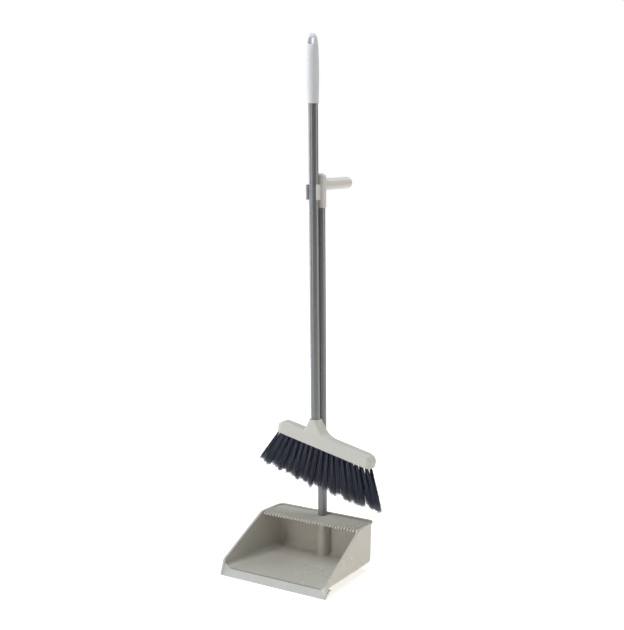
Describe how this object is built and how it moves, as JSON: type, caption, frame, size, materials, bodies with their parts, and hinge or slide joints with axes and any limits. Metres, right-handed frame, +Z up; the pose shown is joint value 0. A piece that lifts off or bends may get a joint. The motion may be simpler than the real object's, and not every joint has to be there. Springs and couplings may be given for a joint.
{
  "type": "long-handled broom and dustpan set",
  "caption": "Upright dustpan with a comb shelf and lip on a tube handle; a long broom with an angled head clips to the front of the handle.",
  "frame": {"origin": "centre of the bounding box's bottom, on the floor", "axes": "+Z up along both tubes; the dustpan opens towards -Y and the hand grip points to +Y; +X is to the right seen from the open front"},
  "size_m": [0.341, 0.3388, 1.2513],
  "materials": {
    "pan_plastic": "semi-gloss warm grey polypropylene",
    "lip_plastic": "satin warm grey",
    "handle_plastic": "satin light warm grey",
    "grip_plastic": "satin cool light grey",
    "head_plastic": "satin light grey",
    "tube_paint": "satin blue-grey powder coat",
    "navy_bristle": "navy filaments with pale flagged tips",
    "black_rubber": "matte",
    "insert_plastic": "matte black",
    "bright_steel": "bright zinc"
  },
  "bodies": {
    "pan": {"pan_body": "pan_plastic", "front_lip": "lip_plastic", "lip_seal": "black_rubber", "comb_shelf": "pan_plastic", "front_feet": "black_rubber", "rear_feet": "black_rubber"},
    "tab": {"locking_tab": "pan_plastic"},
    "handle": {"pan_tube": "tube_paint", "pan_tube_plug": "insert_plastic", "handle_sleeve": "handle_plastic", "hand_grip": "handle_plastic", "sleeve_screw": "bright_steel"},
    "jaw_left": {"clip_jaw_left": "handle_plastic"},
    "jaw_right": {"clip_jaw_right": "handle_plastic"},
    "broom": {"broom_grip": "grip_plastic", "broom_tube": "tube_paint", "thread_insert": "insert_plastic", "broom_head": "head_plastic", "tuft_staples": "bright_steel", "bristle_row_1": "navy_bristle", "bristle_row_2": "navy_bristle", "bristle_row_3": "navy_bristle", "bristle_row_4": "navy_bristle"}
  },
  "joints": [
    {"name": "handle_lift", "type": "slide", "parent": "pan", "child": "handle", "axis": [0, 0, 1], "range_m": [0, 0.095]},
    {"name": "tab_flex", "type": "hinge", "parent": "pan", "child": "tab", "pos_m": [-0.00622, 0.03374, 0.0983], "axis": [0.8829, 0.4695, 0], "range_deg": [-7, 0], "stiffness_Nm_per_rad": 0.5},
    {"name": "broom_unclip", "type": "slide", "parent": "handle", "child": "broom", "axis": [0, -1, 0], "range_m": [0, 0.15]},
    {"name": "jaw_right_flex", "type": "hinge", "parent": "handle", "child": "jaw_right", "pos_m": [-0.001, 0.02295, 0.89254], "axis": [0, 0, 1], "range_deg": [0, 7], "stiffness_Nm_per_rad": 2},
    {"name": "jaw_left_flex", "type": "hinge", "parent": "handle", "child": "jaw_left", "pos_m": [-0.02298, 0.02295, 0.89254], "axis": [0, 0, 1], "range_deg": [-7, 0], "stiffness_Nm_per_rad": 2}
  ],
  "couplings": [
    {"joint": "jaw_left_flex", "follows": "jaw_right_flex", "ratio": -1}
  ]
}
